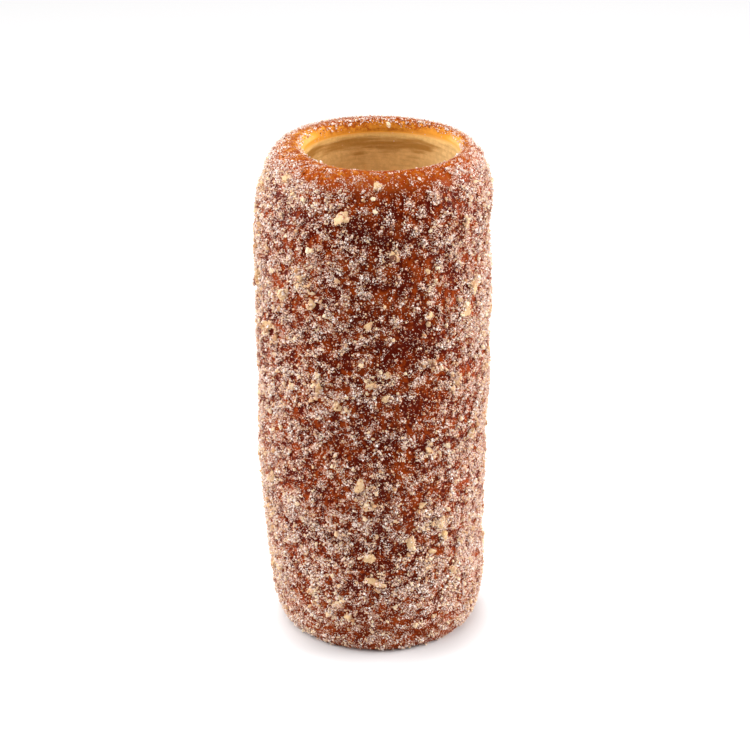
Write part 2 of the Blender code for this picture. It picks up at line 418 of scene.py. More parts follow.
@dataclass(frozen=True)
class CaramelCrust(Finish):
    """Baked dough: tan in the bore, golden at the lip, and dark glossy caramel on the wall."""

    name: str = "caramel_crust"
    roughness: float = 0.3
    shine: float = 0.03
    bore: Colour = (0.78, 0.47, 0.175)
    # Painted light: the paler tan laid on the bore's left and right sides
    bore_painted_light: Colour = (0.98, 0.70, 0.33)
    bore_streak: Colour = (0.38, 0.165, 0.028)
    # Pale golden dough at the lip's inner edge, partly a painted highlight along that edge
    lip_pale_and_highlight: Colour = (0.97, 0.62, 0.22)
    lip_gold: Colour = (0.86, 0.37, 0.045)
    crest: Colour = (0.44, 0.105, 0.010)
    wall_bright: Colour = (0.29, 0.040, 0.003)
    wall_dark: Colour = (0.085, 0.005, 0.001)
    melt: Colour = (0.40, 0.15, 0.06)
    sugar: Colour = (0.74, 0.54, 0.43)
    # How brown the dough is where each colour lies, from the bore to the wall
    baking: tuple[float, ...] = (0.0, 0.08, 0.20, 0.42, 0.75)
    # The spans of browning over which the bore's marks end, and flecks, sugar, gloss and the wall begin
    bore_end: Span = (0.05, 0.2)
    fleck_start: Span = (0.2, 0.5)
    sugar_start: Span = (0.3, 0.65)
    gloss_start: Span = (0.1, 0.5)
    wall_start: Span = (0.55, 0.95)
    fleck_size: float = 1.5 * MM
    fleck_middle: float = 0.4
    fleck_swing: float = 0.45
    blotch_size: float = 7 * MM
    blotch_share: float = 0.55
    blotch_span: Span = (0.28, 0.88)
    # Painted shade: how far the wall's colour darkens in the seam and the dimples
    furrow_painted_shade: float = 0.8
    freckle_size: float = 1.7 * MM
    freckle_strength: float = 0.28
    streak_scale: tuple[float, float, float] = (110.0, 110.0, 900.0)
    streak_level: float = 0.55
    streak_span: Span = (0.48, 1.05)
    streak_strength: float = 0.9
    film_size: float = 0.75 * MM
    film_cover: float = 0.5
    dust_size: float = 0.42 * MM
    dust_cover: float = 0.7
    dust_usual: float = 0.08
    dust_roughness: float = 0.25
    bare_roughness: float = 0.3
    pore_scale: float = 900.0
    dust_height: float = 1.6
    bump_distance: float = 0.15 * MM
    bump_strength: float = 0.8

    def make(self, effects: Effects) -> bpy.types.Material:
        """Builds the material.

        Args:
            effects: the shared node groups.

        Returns:
            The material. It reads the mesh's values for browning, furrow for painted shade, pale for painted
            light in the bore, streak and sugar.
        """
        material, wiring, shader = self.start()
        browning = wiring.attribute("browning")
        flecks = self.use(wiring, effects.mottle, Size=self.fleck_size).outputs["Value"]
        wall = self._wall_colour(wiring, effects, flecks)
        uneven = wiring.math("SUBTRACT", flecks, self.fleck_middle)
        uneven = wiring.math("MULTIPLY", uneven, wiring.span(browning, *self.fleck_start))
        # The lip's pale stop on this ramp is partly a painted highlight along the lip's inner edge
        baked = wiring.ramp(
            wiring.math("MULTIPLY_ADD", uneven, self.fleck_swing, browning),
            *zip(self.baking, (self.bore, self.lip_pale_and_highlight, self.lip_gold, self.crest, self.wall_bright)),
        )
        dough = wiring.mix(wiring.span(browning, *self.wall_start), baked, wall)
        # Painted light on the bore's sides, where the pale value is high
        dough = wiring.mix(wiring.attribute("pale"), dough, self.bore_painted_light)
        inside = wiring.math("SUBTRACT", 1.0, wiring.span(browning, *self.bore_end))
        for marks in (self._freckles(wiring, effects), self._streaks(wiring)):
            dough = wiring.mix(wiring.math("MULTIPLY", marks, inside), dough, self.bore_streak)
        sugar = wiring.math("MULTIPLY", wiring.attribute("sugar"), wiring.span(browning, *self.sugar_start))
        melted = wiring.math("MULTIPLY", sugar, self.film_cover)
        film = self.use(wiring, effects.dust, Size=self.film_size, Cover=melted)
        dough = wiring.mix(film.outputs["Mask"], dough, self.melt)
        usual = wiring.math("MULTIPLY", browning, self.dust_usual)
        specks = wiring.math("MULTIPLY_ADD", sugar, self.dust_cover, usual)
        dust = self.use(wiring, effects.dust, Size=self.dust_size, Cover=specks)
        wiring.feed(shader.inputs["Base Color"], wiring.mix(dust.outputs["Mask"], dough, self.sugar))
        rough = wiring.math("MULTIPLY_ADD", dust.outputs["Mask"], self.dust_roughness, self.roughness)
        bare = wiring.math("SUBTRACT", 1.0, wiring.span(browning, *self.gloss_start))
        rough = wiring.math("MULTIPLY_ADD", bare, self.bare_roughness, rough)
        wiring.feed(shader.inputs["Roughness"], rough)
        wiring.feed(shader.inputs["Normal"], self._relief(wiring, dust))
        return material

    def _wall_colour(
        self, wiring: Wiring, effects: Effects, flecks: bpy.types.NodeSocket
    ) -> bpy.types.NodeSocket:
        """The caramel's blotches, with painted shade that darkens the seam and the dimples.

        Args:
            wiring: the material's wiring.
            effects: the shared node groups.
            flecks: the fine unevenness, 0 to 1.

        Returns:
            The wall's colour.
        """
        blotches = self.use(wiring, effects.mottle, Size=self.blotch_size).outputs["Value"]
        blotches = wiring.math("MULTIPLY", blotches, self.blotch_share)
        both = wiring.math("ADD", blotches, wiring.math("MULTIPLY", flecks, 1 - self.blotch_share))
        bright = wiring.span(both, *self.blotch_span)
        # Painted shade: the wall goes darker where the furrow is deep
        share = wiring.math("MULTIPLY_ADD", wiring.attribute("furrow"), -self.furrow_painted_shade, bright)
        return wiring.mix(wiring.math("MAXIMUM", share, 0.0), self.wall_dark, self.wall_bright)

    def _freckles(self, wiring: Wiring, effects: Effects) -> bpy.types.NodeSocket:
        """The bore's fine darker marks."""
        marks = self.use(wiring, effects.mottle, Size=self.freckle_size).outputs["Value"]
        return wiring.math("MULTIPLY", marks, self.freckle_strength)

    def _streaks(self, wiring: Wiring) -> bpy.types.NodeSocket:
        """The darker streaks that run round the bore, broken up along their length.

        Args:
            wiring: the material's wiring.

        Returns:
            How strong they are, 0 to 1.
        """
        flat = wiring.add("Mapping", {"Vector": wiring.place(), "Scale": self.streak_scale})
        grain = wiring.add("TexNoise", {"Vector": flat.outputs["Vector"], "Scale": 1.0, "Detail": 5.0})
        streak = wiring.attribute("streak")
        raised = wiring.math("MULTIPLY_ADD", streak, self.streak_level, grain.outputs["Fac"])
        return wiring.math("MULTIPLY", wiring.span(raised, *self.streak_span), self.streak_strength)

    def _relief(self, wiring: Wiring, dust: bpy.types.Node) -> bpy.types.NodeSocket:
        """The pores of the dough and the fine sugar as bump.

        Args:
            wiring: the material's wiring.
            dust: the fine sugar.

        Returns:
            The normal.
        """
        pores = wiring.add("TexNoise", {"Vector": wiring.place(), "Scale": self.pore_scale, "Detail": 3.0})
        height = wiring.math("MULTIPLY_ADD", dust.outputs["Height"], self.dust_height, pores.outputs["Fac"])
        sockets = {"Height": height, "Distance": self.bump_distance, "Strength": self.bump_strength}
        return wiring.add("Bump", sockets).outputs["Normal"]


@dataclass(frozen=True)
class NutFlesh(Finish):
    """Chopped nut: cream flesh, golden where it is toasted, with brown skin left on some sides."""

    name: str = "chopped_nut"
    roughness: float = 0.55
    shine: float = 0.2
    flesh: Colour = (0.76, 0.54, 0.31)
    toasted: Colour = (0.64, 0.35, 0.12)
    skin: Colour = (0.20, 0.070, 0.038)
    blotch_size: float = 1.6 * MM
    skin_edge: Span = (0.4, 0.6)
    grain_scale: float = 1500.0
    bump_distance: float = 0.1 * MM
    bump_strength: float = 0.6

    def make(self, effects: Effects) -> bpy.types.Material:
        """Builds the material, which reads the mesh's values for toast and skin.

        Args:
            effects: the shared node groups.

        Returns:
            The material.
        """
        material, wiring, shader = self.start()
        blotches = self.use(wiring, effects.mottle, Size=self.blotch_size).outputs["Value"]
        toast = wiring.math("MULTIPLY", blotches, wiring.attribute("toast"))
        flesh = wiring.mix(toast, self.flesh, self.toasted)
        colour = wiring.mix(wiring.span(wiring.attribute("skin"), *self.skin_edge), flesh, self.skin)
        wiring.feed(shader.inputs["Base Color"], colour)
        grain = wiring.add("TexNoise", {"Vector": wiring.place(), "Scale": self.grain_scale, "Detail": 2.0})
        height = grain.outputs["Fac"]
        sockets = {"Height": height, "Distance": self.bump_distance, "Strength": self.bump_strength}
        wiring.feed(shader.inputs["Normal"], wiring.add("Bump", sockets).outputs["Normal"])
        return material


@dataclass(frozen=True)
class GrainFinish(Finish):
    """Small grains whose colour goes from dull to bright by the tone of each."""

    name: str
    dull: Colour
    middle: Colour
    bright: Colour
    roughness: float
    shine: float = 0.3

    def make(self) -> bpy.types.Material:
        """Builds the material, which reads the mesh's values for tone.

        Returns:
            The material.
        """
        material, wiring, shader = self.start()
        stops = ((0.0, self.dull), (0.5, self.middle), (1.0, self.bright))
        wiring.feed(shader.inputs["Base Color"], wiring.ramp(wiring.attribute("tone"), *stops))
        return material


@dataclass(frozen=True)
class WallSpot:
    """A soft-edged ellipse on the wall: turn and slope in degrees, lengths in millimetres."""

    turn: float
    height: float
    half_length: float
    half_width: float
    amount: float
    slope: float = 0.0

    def at(self, turn: np.ndarray, height: np.ndarray, radius: float) -> np.ndarray:
        """The amount that it gives places of the wall.

        Args:
            turn: turns of the places, in radians.
            height: their heights.
            radius: of the wall.

        Returns:
            The amounts, which fade from the middle outwards.
        """
        apart = (turn - math.radians(self.turn) + math.pi) % TURN - math.pi
        across, up = radius * apart, height - self.height * MM
        tilt = math.radians(self.slope)
        along = (across * math.cos(tilt) + up * math.sin(tilt)) / (self.half_length * MM)
        beside = (up * math.cos(tilt) - across * math.sin(tilt)) / (self.half_width * MM)
        return self.amount * np.exp(-(along**2) - beside**2)


@dataclass(frozen=True)
class DoughForm:
    """The form of the tube, with the solid's own sizes."""

    height: float = 188 * MM
    top_radius: float = 41.3 * MM
    base_radius: float = 39.3 * MM
    wall_swell: float = 1.9 * MM
    bore_top_radius: float = 27.9 * MM
    bore_base_radius: float = 26.6 * MM
    bore_shift: float = 1.8 * MM
    shoulder_width: float = 11.2 * MM
    shoulder_height: float = 24 * MM
    lip_drop: float = 4.5 * MM
    heel_width: float = 5.2 * MM
    heel_height: float = 25 * MM
    foot_width: float = 5 * MM
    base_lip_height: float = 3.5 * MM
    bow_top: float = -0.2 * MM
    bow_middle: float = -1.6 * MM
    bow_base: float = 0.6 * MM
    bow_low_share: float = 0.35
    bow_high_share: float = 0.8
    band_pitch: float = 39.5 * MM
    seam_front_height: float = 166 * MM
    seam_half_width: float = 3.2 * MM
    seam_depth: float = 0.9 * MM
    seam_wander: float = 3 * MM
    seam_wander_rate: float = 2.0
    seam_fade_size: float = 14 * MM
    seam_fade_shift: tuple[float, float, float] = (7, 3, 5)
    seam_strength: tuple[float, float] = (0.65, 0.6)
    inner_seam_depth: float = 0.5 * MM
    band_crown: float = 0.35 * MM
    hollows: Unevenness = Unevenness(26 * MM, 0.7 * MM)
    pebbles: Unevenness = Unevenness(3.5 * MM, 0.35 * MM)
    crest_crust: float = 0.3
    lip_crust: float = 0.2
    browning_depth: float = 11 * MM
    foot_browning: float = 0.75
    low_browning: float = 0.78
    low_browning_height: float = 45 * MM
    crest_browning: float = 0.58
    lip_browning: float = 0.08
    lip_browning_bend: float = 1.6
    bore_browning: float = 0.1
    bore_browning_fade: float = 90.0
    base_lip_browning: float = 0.3
    heel_dressing_rise: float = 6.0
    crest_dressing: float = 0.95
    lip_dressing_reach: float = 0.6
    dimples: tuple[WallSpot, ...] = (
        WallSpot(0, 166.5, 9.5, 3.2, 1.0, -27),
        WallSpot(16, 126.5, 5.0, 2.6, 0.8, -5),
        WallSpot(-24, 50, 10.0, 3.0, 0.9, -28),
        WallSpot(3, 52, 6.0, 4.0, 0.8, 0),
        WallSpot(26, 53, 6.5, 2.8, 0.7, 20),
    )

    def bow(self, height: np.ndarray) -> np.ndarray:
        """How far the tube's middle line is from straight, along X.

        Args:
            height: heights along the tube.

        Returns:
            The distance at each height.
        """
        share = height / self.height
        rise = smooth_step(share / self.bow_low_share)
        reach = smooth_step((share - self.bow_high_share) / (1 - self.bow_high_share))
        return between(self.bow_base, self.bow_middle, rise) + (self.bow_top - self.bow_middle) * reach

    def wall_radius(self, height: np.ndarray) -> np.ndarray:
        """The outside radius of the straight part of the wall."""
        share = height / self.height
        return between(self.base_radius, self.top_radius, share) + self.wall_swell * np.sin(math.pi * share)

    def bore_radius(self, height: np.ndarray) -> np.ndarray:
        """The radius of the bore, which tapers as the roll does."""
        return between(self.bore_base_radius, self.bore_top_radius, height / self.height)

    @property
    def foot_outer(self) -> float:
        """The outer radius of the flat ring that it stands on."""
        return self.wall_radius(self.heel_height) - self.heel_width

    @property
    def foot_inner(self) -> float:
        """The inner radius of that ring."""
        return self.foot_outer - self.foot_width

    def side_shift(self, radius: np.ndarray, height: np.ndarray) -> np.ndarray:
        """How far a place of the section moves along X, by the bow and the bore's offset.

        Args:
            radius: radii of the places before the move.
            height: their heights.

        Returns:
            The distance for each place.
        """
        wall = self.wall_radius(height) - self.bore_radius(height)
        bore_side = smooth_step(2 * (self.wall_radius(height) - radius) / wall - 1)
        return self.bow(height) + self.bore_shift * bore_side

    def seam_gap(self, turn: np.ndarray, height: np.ndarray) -> np.ndarray:
        """How far each place lies from the nearest turn of the seam, along Z.

        Args:
            turn: turns of the places, in radians.
            height: their heights.

        Returns:
            The distances, none below 0.
        """
        rate = self.seam_wander_rate
        round_tube = np.stack((rate * np.cos(turn), rate * np.sin(turn), height / self.band_pitch), axis=1)
        wander = self.seam_wander * noise_at(round_tube, 1.0)
        level = self.seam_front_height - self.band_pitch * turn / TURN + wander
        offset = (height - level) % self.band_pitch
        return np.minimum(offset, self.band_pitch - offset)

    def hollow_depth_at(self, turn: np.ndarray, height: np.ndarray) -> np.ndarray:
        """How deep the dimples are at places of the wall."""
        return MM * sum(dimple.at(turn, height, self.top_radius) for dimple in self.dimples)

    def wall_browning(self, height: float) -> float:
        """How brown the wall is, a little less near the lower end."""
        return between(self.low_browning, 1.0, smooth_step(height / self.low_browning_height))

    def outline(self, steps: "OutlineSteps") -> np.ndarray:
        """The closed outline of the wall, from the foot up the outside and down the bore.

        Args:
            steps: how many rows each stretch gets.

        Returns:
            Rows of radius, height, how crusty the place is, how brown, and how far sugar sticks there.
        """
        shoulder_base = self.height - self.shoulder_height
        crest_radius = self.wall_radius(shoulder_base) - self.shoulder_width
        lip_base = self.height - self.lip_drop
        lip_width = crest_radius - self.bore_radius(lip_base)
        base_lip_width = self.foot_inner - self.bore_radius(self.base_lip_height)
        rows = [
            (between(self.foot_inner, self.foot_outer, share), 0.0, 0.0, self.foot_browning, 0.0)
            for share in np.linspace(0, 1, steps.foot)
        ]
        for rise, run in quarter(steps.heel):
            radius = self.foot_outer + self.heel_width * rise
            height = self.heel_height * (1 - run)
            crust = smooth_step(2 * (1 - run))
            dressing = min(1.0, self.heel_dressing_rise * rise)
            rows.append((radius, height, crust, self.wall_browning(height), dressing))
        for height in np.linspace(self.heel_height, shoulder_base, steps.wall):
            rows.append((self.wall_radius(height), height, 1.0, self.wall_browning(height), 1.0))
        for rise, run in quarter(steps.shoulder):
            radius = crest_radius + self.shoulder_width * run
            height = shoulder_base + self.shoulder_height * rise
            crust = between(self.crest_crust, 1, run)
            below = smooth_step(self.shoulder_height * (1 - rise) / self.browning_depth)
            browning = between(self.crest_browning, 1, below)
            rows.append((radius, height, crust, browning, between(self.crest_dressing, 1, below)))
        crest = (self.crest_crust, self.crest_browning, self.crest_dressing)
        rows.append((crest_radius, self.height, *crest))
        for rise, run in quarter(steps.lip):
            radius = crest_radius - lip_width * rise
            height = self.height - self.lip_drop * (1 - run)
            browning = between(self.crest_browning, self.lip_browning, rise**self.lip_browning_bend)
            dressing = self.crest_dressing * (1 - smooth_step((1 - run) / self.lip_dressing_reach))
            rows.append((radius, height, self.lip_crust, browning, dressing))
        for share in np.linspace(0, 1, steps.bore):
            height = between(lip_base, self.base_lip_height, share**steps.mouth_bias)
            browning = self.bore_browning * math.exp(-self.bore_browning_fade * share)
            rows.append((self.bore_radius(height), height, -1.0, browning, 0.0))
        for rise, run in quarter(steps.base_lip):
            radius = self.foot_inner - base_lip_width * run
            height = self.base_lip_height * (1 - rise)
            rows.append((radius, height, 0.0, self.base_lip_browning * rise, 0.0))
        return np.array(rows)


def quarter(steps: int) -> Iterator[tuple[float, float]]:
    """The sine and cosine of evenly spaced angles strictly inside a right angle.

    Args:
        steps: how many parts the angle is split into.

    Yields:
        How far a quarter round has risen, and how far it still has to run.
    """
    for angle in np.arange(1, steps) * (math.pi / 2 / steps):
        yield math.sin(angle), math.cos(angle)


@dataclass(frozen=True)
class OutlineSteps:
    """How many rows each stretch of the wall's outline gets."""

    foot: int = 6
    heel: int = 26
    wall: int = 176
    shoulder: int = 28
    lip: int = 9
    bore: int = 46
    base_lip: int = 7
    mouth_bias: float = 1.5


@dataclass(frozen=True)
class SugarCover:
    """How thickly the sugar lies: broad patches, those listed one by one, and fine clumps."""

    usual: float = -0.06
    patches: Unevenness = Unevenness(7 * MM, 0.7, 4.4)
    broad: Unevenness = Unevenness(24 * MM, 0.3, 6.1)
    coarse: Unevenness = Unevenness(3.0 * MM, 1.9, 1.7)
    specks: Unevenness = Unevenness(1.3 * MM, 1.2, 9.2)
    low_height: float = 75 * MM
    low_more: float = 0.18
    # More sugar toward the sides and back and less at the front, up to twice as much low down: partly the
    # sugar's own spread, partly painted light that brightens the edges
    side_sugar_and_painted_light: float = 0.25
    side_turn: float = 0.2
    furrow_less: float = 0.3
    spot_radius: float = 42 * MM
    spots: tuple[WallSpot, ...] = (
        WallSpot(6, 187, 22, 5.5, -0.85),
        WallSpot(38, 184, 9, 4, -0.20),
        WallSpot(22, 178, 12, 5, -0.25),
        WallSpot(108, 186, 34, 6, 0.40),
        WallSpot(-104, 186, 34, 6, 0.48),
        WallSpot(170, 187, 44, 5, 0.85),
        WallSpot(3, 171, 10, 4, -0.45),
        WallSpot(23, 161.5, 3.5, 3, -0.60),
        WallSpot(-26, 158, 3.5, 2.5, -0.55),
        WallSpot(15, 155, 5, 3.5, -0.45),
        WallSpot(-2, 149.5, 8, 3, -0.35),
        WallSpot(-29, 140, 6, 3.5, -0.40),
        WallSpot(-6, 138, 4.5, 3.5, -0.40),
        WallSpot(25, 135, 6, 4, -0.40),
        WallSpot(-35, 126, 6, 3.5, -0.45),
        WallSpot(10, 126.5, 9, 3.5, -0.50),
        WallSpot(2, 119, 7, 4, -0.30),
        WallSpot(28, 104.5, 5, 4, -0.45),
        WallSpot(11, 97, 7, 3, -0.40),
        WallSpot(31, 94, 6, 4.5, -0.45),
        WallSpot(11, 80, 5, 4.5, -0.45),
        WallSpot(-35, 75, 5, 5, -0.40),
        WallSpot(-24, 65, 5.5, 4.5, -0.70),
        WallSpot(23, 67, 5, 3.5, -0.45),
        WallSpot(-12, 62, 4, 3, -0.40),
        WallSpot(0, 46.5, 5.5, 3, -0.50),
        WallSpot(-46, 35, 3, 2, -0.40),
        WallSpot(-53, 182, 7, 4, 0.40),
        WallSpot(-16, 173, 5, 3.5, 0.45),
        WallSpot(8, 160.5, 3.5, 2.5, 0.45),
        WallSpot(-37, 147.5, 6, 4, 0.45),
        WallSpot(-59, 127, 6, 6, 0.40),
        WallSpot(49, 131, 4.5, 9, 0.50),
        WallSpot(41, 111, 4.5, 4.5, 0.45),
        WallSpot(-30, 55, 8, 4, 0.55, -25),
        WallSpot(-20, 46, 6, 3.5, 0.50),
        WallSpot(27, 55, 8, 4, 0.45),
        WallSpot(3, 29, 16, 7, 0.10),
        WallSpot(17, 132, 10, 38, -0.42),
        WallSpot(-46, 57, 8, 9, 0.72),
        WallSpot(67, 132, 9, 42, 0.42),
        WallSpot(27, 43, 6, 6, 0.50),
        WallSpot(46, 28, 10, 14, 0.42),
        WallSpot(43, 58, 8, 7, 0.48),
        WallSpot(-38, 152, 5, 5, 0.25),
        WallSpot(-40, 182, 11, 5, 0.35),
        WallSpot(-22, 156, 9, 8, 0.32),
        WallSpot(-4, 43, 6, 6, -0.30),
        WallSpot(-4, 106, 6, 6, -0.25),
        WallSpot(26, 104, 7, 6, -0.30),
        WallSpot(26, 122, 6, 5, 0.08),
        WallSpot(60, 30, 7, 22, 0.30),
    )

    def broad_level(
        self, places: np.ndarray, turn: np.ndarray, height: np.ndarray, furrow: np.ndarray
    ) -> np.ndarray:
        """How much sugar lies at each place, apart from the clumps.

        Args:
            places: points of the crust.
            turn: the turn of each.
            height: the height of each.
            furrow: how deep in a furrow each is.

        Returns:
            Levels, where 0 is half covered.
        """
        low = smooth_step((self.low_height - height) / self.low_height)
        return (
            self.usual
            + self.patches.at(places)
            + self.broad.at(places)
            + self.low_more * low
            # Partly painted light: more sugar toward the sides brightens the edges
            + self.side_sugar_and_painted_light * (0.5 - np.cos(turn - self.side_turn)) * (1 + low)
            - self.furrow_less * furrow
            + sum(spot.at(turn, height, self.spot_radius) for spot in self.spots)
        )

    def clumps(self, places: np.ndarray) -> np.ndarray:
        """What the fine clumps add to the level at each place."""
        return self.coarse.at(places) + self.specks.at(places)


@dataclass
class Crust:
    """The skin of the dough: the tube's form with all its fine relief."""

    form: DoughForm
    cover: SugarCover = SugarCover()
    steps: OutlineSteps = OutlineSteps()
    sides: int = 318
    crumbs: Unevenness = Unevenness(1.3 * MM, 0.14 * MM, 3.1)
    paste_height: float = 0.5 * MM
    paste_usual: float = 0.4
    ripple: Unevenness = Unevenness(5 * MM, 0.18 * MM, 5.3)
    ripple_squash: tuple[float, float, float] = (1, 1, 2.5)
    mouth_depth: float = 4 * MM
    groove_furrow: float = 0.55
    dimple_furrow_depth: float = 1.1 * MM
    wobble: Unevenness = Unevenness(9 * MM, 1.2 * MM)
    tint: Unevenness = Unevenness(7 * MM, 0.12, 8.8)
    least_tinted: float = 0.12
    map_share: float = 0.98
    map_margin: float = 0.005
    streaks: tuple[WallSpot, ...] = (
        WallSpot(-176, 179.3, 30.0, 2.4, 0.55),
        WallSpot(-160, 179.4, 14.0, 2.0, 0.6, 3),
        WallSpot(152, 178.6, 8.0, 1.6, 0.8, -6),
        WallSpot(-106, 179.0, 9.0, 3.4, 0.9),
        WallSpot(-165, 173.9, 3.2, 1.0, 0.9),
        WallSpot(170, 175.8, 9.0, 1.2, 0.45, 5),
        WallSpot(-130, 171.0, 6.0, 1.6, 0.4),
    )
    baked_lip: tuple[WallSpot, ...] = (
        WallSpot(180, 185.2, 46, 2.9, 0.26),
        WallSpot(-120, 185.0, 22, 2.4, 0.08),
    )
    golden: tuple[WallSpot, ...] = (
        WallSpot(-95, 188, 30, 5, 0.22),
        WallSpot(100, 188, 18, 4, 0.15),
        WallSpot(-28, 188.5, 14, 2.5, 0.10),
        WallSpot(172, 188, 52, 4, 0.08),
    )
    # Painted light: paler patches on the bore's right and left sides, where light falls into the mouth
    bore_painted_light_places: tuple[WallSpot, ...] = (
        WallSpot(104, 174, 17, 14, 0.75),
        WallSpot(-90, 172, 16, 10, 0.55),
    )
    skin: bpy.types.Object = field(init=False)
    dressing: np.ndarray = field(init=False)
    level: np.ndarray = field(init=False)
    furrow: np.ndarray = field(init=False)
    paste: np.ndarray = field(init=False)
    offset: np.ndarray = field(init=False)

    def build(self) -> None:
        """Spins the outline round the bore, then gives the skin its relief and its stored values."""
        outline = self.form.outline(self.steps)
        self.skin = self._spin(outline)
        mesh = self.skin.data
        row = np.empty(len(mesh.vertices), np.float32)
        mesh.attributes["row"].data.foreach_get("value", row)
        row = np.rint(row).astype(int)
        places = places_of(mesh)
        radius, height, crust, browning, self.dressing = outline[row].T
        turn = np.arctan2(places[:, 0], -places[:, 1])
        self._shape(places, turn, radius, height, crust)
        self._store(places, turn, height, crust, browning)
        self._lay_out(row, turn, len(outline))
        mesh.shade_smooth()
        mesh.update()

    def _spin(self, outline: np.ndarray) -> bpy.types.Object:
        """Makes the closed skin, with the number of its outline row stored at each vertex.

        Args:
            outline: the rows that the form gives.

        Returns:
            The skin, smooth and round.
        """
        deselect_all()
        bpy.ops.mesh.primitive_circle_add(vertices=len(outline), fill_type="NOTHING")
        skin = bpy.context.active_object
        skin.name = "crust"
        corners = np.zeros((len(outline), 3), np.float32)
        corners[:, 1], corners[:, 2] = -outline[:, 0], outline[:, 1]
        skin.data.vertices.foreach_set("co", corners.ravel())
        give_values(skin.data, "row", np.arange(len(outline)))
        with editing(skin):
            bpy.ops.mesh.spin(
                steps=self.sides, angle=TURN, center=(0, 0, 0), axis=(0, 0, 1), use_auto_merge=True
            )
            bpy.ops.mesh.select_all(action="SELECT")
            bpy.ops.mesh.normals_make_consistent(inside=False)
        return skin

    def _shape(
        self, places: np.ndarray, turn: np.ndarray, radius: np.ndarray, height: np.ndarray, crust: np.ndarray
    ) -> None:
        """Moves every vertex to its place on the uneven crust or in the bore.

        Args:
            places: the vertices, changed here.
            turn: turn of each.
            radius: radius of each before the relief.
            height: height of each.
            crust: how crusty each is, below 0 in the bore.
        """
        form = self.form
        outward = np.stack((np.sin(turn), -np.cos(turn), 0 * turn), axis=1)
        gap = form.seam_gap(turn, height)
        middle, swing = form.seam_strength
        aside = np.array(form.seam_fade_shift) * form.seam_fade_size
        fade = middle + swing * noise_at(places + aside, form.seam_fade_size)
        groove = np.exp(-((gap / form.seam_half_width) ** 2))
        hollows = form.hollow_depth_at(turn, height)
        furrow = fade * groove * self.groove_furrow + hollows / self.dimple_furrow_depth
        self.furrow = np.clip(furrow, 0, 1)
        self.level = self.cover.broad_level(places, turn, height, self.furrow)
        self.paste = smooth_step(0.5 + self.level + self.cover.clumps(places)) * self.dressing
        relief = (
            form.band_crown * np.sin(math.pi * gap / form.band_pitch)
            + form.hollows.at(places)
            + form.pebbles.at(places)
            + self.crumbs.at(places)
            - form.seam_depth * fade * groove
            - hollows
        )
        ripple = self.ripple.at(places * np.array(self.ripple_squash))
        into_bore = smooth_step((form.height - form.lip_drop - height) / self.mouth_depth)
        inner = (form.inner_seam_depth * groove + ripple) * into_bore
        coat = self.paste_height * (self.paste - self.paste_usual) * self.dressing
        stand = np.where(crust > 0, crust * (relief + coat), 0.0)
        stand = np.where(crust < 0, inner, stand)
        places += outward * stand[:, None]
        self.offset = self._offset()
        places[:, 0] += form.side_shift(radius, height)
        places += self.offset
        np.clip(places, np.array(CAD_LOW), np.array(CAD_HIGH), out=places)
        self.skin.data.vertices.foreach_set("co", places.astype(np.float32).ravel())

    def _offset(self) -> np.ndarray:
        """How far the solid was moved to stand on the origin, from its flat foot ring.

        Returns:
            The distance along X, Y and Z.
        """
        solid = np.unique(np.round(places_of(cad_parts[NODE].data), 6), axis=0)
        ring = solid[solid[:, 2] < 0.01 * MM]
        rims = np.array((self.form.foot_inner, self.form.foot_outer))
        usual = self.form.side_shift(rims, np.zeros(2)).mean()
        return np.array((ring[:, 0].mean() - usual, ring[:, 1].mean(), 0.0))

    def _store(
        self,
        places: np.ndarray,
        turn: np.ndarray,
        height: np.ndarray,
        crust: np.ndarray,
        browning: np.ndarray,
    ) -> None:
        """Stores what the finish reads: browning, the furrow for painted shade, the bore's streaks and its
        painted light, and the sugar.

        Args:
            places: the finished vertices.
            turn: turn of each.
            height: height of each before the relief.
            crust: how crusty each is, below 0 in the bore.
            browning: how brown the outline has each.
        """
        mesh = self.skin.data
        # The furrow value drives painted shade in the seam and the dimples
        give_values(mesh, "furrow", self.furrow * np.clip(crust, 0, 1))
        give_values(mesh, "sugar", self.paste)
        wobbly = height + self.wobble.at(places)
        # The pale value holds painted light on the bore's sides
        for name, spots in (("streak", self.streaks), ("pale", self.bore_painted_light_places)):
            amount = sum(spot.at(turn, wobbly, self.form.bore_top_radius) for spot in spots)
            give_values(mesh, name, np.where(crust < 0, np.clip(amount, 0, 1), 0.0))
        golden, baked = (
            sum(spot.at(turn, height, self.form.top_radius) for spot in spots)
            for spots in (self.golden, self.baked_lip)
        )
        uneven = (self.tint.at(places) - golden) * (browning > self.least_tinted)
        give_values(mesh, "browning", np.clip(browning + uneven + baked, 0, 1))

    def _lay_out(self, row: np.ndarray, turn: np.ndarray, rows: int) -> None:
        """Gives the skin a map for baked colours: turns across, outline rows up.

        Args:
            row: the outline row of each vertex.
            turn: its turn.
            rows: how many rows there are.
        """
        mesh = self.skin.data
        for layer in list(mesh.uv_layers):
            mesh.uv_layers.remove(layer)
        corners = np.empty(len(mesh.loops), np.int32)
        mesh.loops.foreach_get("vertex_index", corners)
        across = (turn[corners] / TURN) % 1.0
        up = row[corners] / rows
        for values in (across, up):
            quads = values.reshape(-1, 4)
            wraps = quads.max(axis=1) - quads.min(axis=1) > 0.5
            quads[wraps] += quads[wraps] < 0.5
        layout = np.stack((across, up), axis=1) * self.map_share + self.map_margin
        give_map(mesh, layout)


